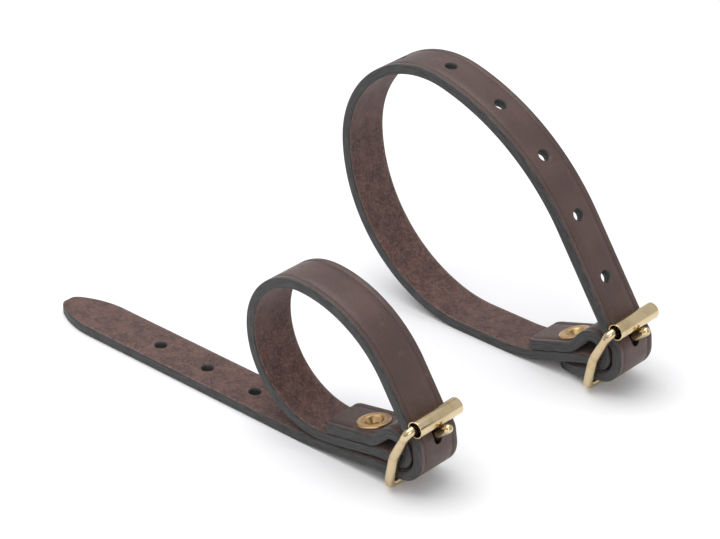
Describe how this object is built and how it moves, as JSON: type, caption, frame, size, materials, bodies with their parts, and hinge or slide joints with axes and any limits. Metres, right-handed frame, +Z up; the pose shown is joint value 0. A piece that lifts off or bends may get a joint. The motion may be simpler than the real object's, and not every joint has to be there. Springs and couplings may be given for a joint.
{
  "type": "buckled leather strap pair",
  "caption": "Two leather straps closed into a small and a large loop by roller buckles, one with a long free tail.",
  "frame": {"origin": "on the ground, at the middle of the pair's footprint", "axes": "+X from the long tail's pointed end to the buckles, +Y from the small strap to the large one, +Z up"},
  "size_m": [0.2108, 0.1312, 0.1064],
  "materials": {
    "leather": "waxed grain outside, suede flesh side",
    "brass": "polished, pale"
  },
  "bodies": {
    "small_strap": {"small_strap": "leather", "small_eyelet": "brass", "small_clench_ring": "brass"},
    "small_frame": {"small_buckle_frame": "brass"},
    "small_roller": {"small_roller": "brass"},
    "small_tongue": {"small_tongue": "brass"},
    "large_strap": {"large_strap": "leather", "large_eyelet": "brass", "large_clench_ring": "brass"},
    "large_frame": {"large_buckle_frame": "brass"},
    "large_roller": {"large_roller": "brass"},
    "large_tongue": {"large_tongue": "brass"}
  },
  "joints": [
    {"name": "small_frame_rock", "type": "hinge", "parent": "small_strap", "child": "small_frame", "pos_m": [0.0784, -0.05, 0.016], "axis": [0, 1, 0], "range_deg": [-2.5, 2.5]},
    {"name": "small_roller_spin", "type": "hinge", "parent": "small_frame", "child": "small_roller", "pos_m": [0.08696, -0.05, 0.03012], "axis": [0, 1, 0], "continuous": true},
    {"name": "small_tongue_swing", "type": "hinge", "parent": "small_frame", "child": "small_tongue", "pos_m": [0.0784, -0.05, 0.016], "axis": [0, 1, 0], "range_deg": [0, 4]},
    {"name": "large_frame_rock", "type": "hinge", "parent": "large_strap", "child": "large_frame", "pos_m": [0.0891, 0.05, 0.016], "axis": [0, 1, 0], "range_deg": [-2.5, 2.5]},
    {"name": "large_roller_spin", "type": "hinge", "parent": "large_frame", "child": "large_roller", "pos_m": [0.09766, 0.05, 0.03012], "axis": [0, 1, 0], "continuous": true},
    {"name": "large_tongue_swing", "type": "hinge", "parent": "large_frame", "child": "large_tongue", "pos_m": [0.0891, 0.05, 0.016], "axis": [0, 1, 0], "range_deg": [0, 4]},
    {"name": "large_strap_lift", "type": "slide", "parent": "small_strap", "child": "large_strap", "axis": [0, 0, 1], "range_m": [0, 0.1]}
  ]
}
